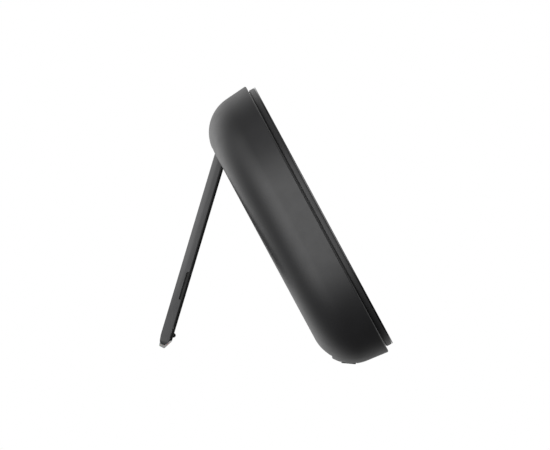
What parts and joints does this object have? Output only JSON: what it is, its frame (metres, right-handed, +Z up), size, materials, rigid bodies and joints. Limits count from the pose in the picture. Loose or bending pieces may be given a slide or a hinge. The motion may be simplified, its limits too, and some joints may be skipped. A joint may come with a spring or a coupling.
{
  "type": "smart display",
  "caption": "Squarish smart display with rounded sides, leaning back on a fold-out kickstand hinged near the top of its back.",
  "frame": {"origin": "on the surface it stands on, below the middle of the whole object's box with the kickstand open", "axes": "+X to the right when facing the screen, -Y out of the screen side, +Z up"},
  "size_m": [0.12, 0.0926, 0.1064],
  "materials": {
    "housing_plastic": "fine-textured soft-touch black",
    "frame_plastic": "satin black",
    "screen_glass": "polished, back-printed black",
    "leg_plastic": "fine-textured dark grey",
    "black_plastic": "satin black",
    "button_plastic": "satin black",
    "foot_silicone": "translucent light grey",
    "black_rubber": "matte",
    "steel": "brushed",
    "aluminium": "satin",
    "magnet": "nickel plated",
    "board": "green solder mask",
    "lcd": "dark, switched off",
    "battery_wrap": "foil pouch",
    "cone_paper": "matte",
    "bush_plastic": "natural acetal",
    "flex": "amber film"
  },
  "bodies": {
    "display": {"antenna": "flex", "backlight": "aluminium", "battery_lead": "black_rubber", "battery_pack": "battery_wrap", "board_screw_1": "steel", "board_screw_2": "steel", "board_screw_3": "steel", "board_screw_4": "steel", "button_board": "board", "catch_magnet": "magnet", "chassis_screw_1": "steel", "chassis_screw_2": "steel", "chassis_screw_3": "steel", "chassis_screw_4": "steel", "cover_glass": "screen_glass", "display_cable": "flex", "front_frame": "frame_plastic", "hinge_pin_left": "steel", "hinge_pin_right": "steel", "hinge_washer_left": "steel", "hinge_washer_right": "steel", "lcd_panel": "lcd", "light_sensor": "black_plastic", "main_board": "board", "mic_board": "board", "mid_frame": "aluminium", "pin_retainer_left": "steel", "pin_retainer_right": "steel", "rear_housing": "housing_plastic", "rest_pad": "black_rubber", "retainer_screw_left": "steel", "retainer_screw_right": "steel", "shield_can": "steel", "speaker_basket_left": "black_plastic", "speaker_basket_right": "black_plastic", "speaker_cone_left": "cone_paper", "speaker_cone_right": "cone_paper", "switch_power": "black_plastic", "switch_volume_down": "black_plastic", "switch_volume_up": "black_plastic", "usb_board": "board", "usb_port": "steel", "usb_screw": "steel"},
    "kickstand": {"leg_shell": "leg_plastic", "leg_plate": "black_plastic", "leg_foot": "foot_silicone", "leg_bumper": "black_rubber", "leg_core": "steel", "leg_magnet": "magnet", "hinge_bush_left": "bush_plastic", "hinge_bush_right": "bush_plastic"},
    "power_button": {"power_button": "button_plastic"},
    "volume_up_button": {"volume_up_button": "button_plastic"},
    "volume_down_button": {"volume_down_button": "button_plastic"}
  },
  "joints": [
    {"name": "kickstand_fold", "type": "hinge", "parent": "display", "child": "kickstand", "pos_m": [0, 0.02806, 0.07933], "axis": [1, 0, 0], "range_deg": [-45, 0]},
    {"name": "power_press", "type": "slide", "parent": "display", "child": "power_button", "axis": [-1, 0, 0], "range_m": [0, 0.0004], "stiffness_N_per_m": 700},
    {"name": "volume_up_press", "type": "slide", "parent": "display", "child": "volume_up_button", "axis": [-1, 0, 0], "range_m": [0, 0.0004], "stiffness_N_per_m": 700},
    {"name": "volume_down_press", "type": "slide", "parent": "display", "child": "volume_down_button", "axis": [-1, 0, 0], "range_m": [0, 0.0004], "stiffness_N_per_m": 700}
  ]
}
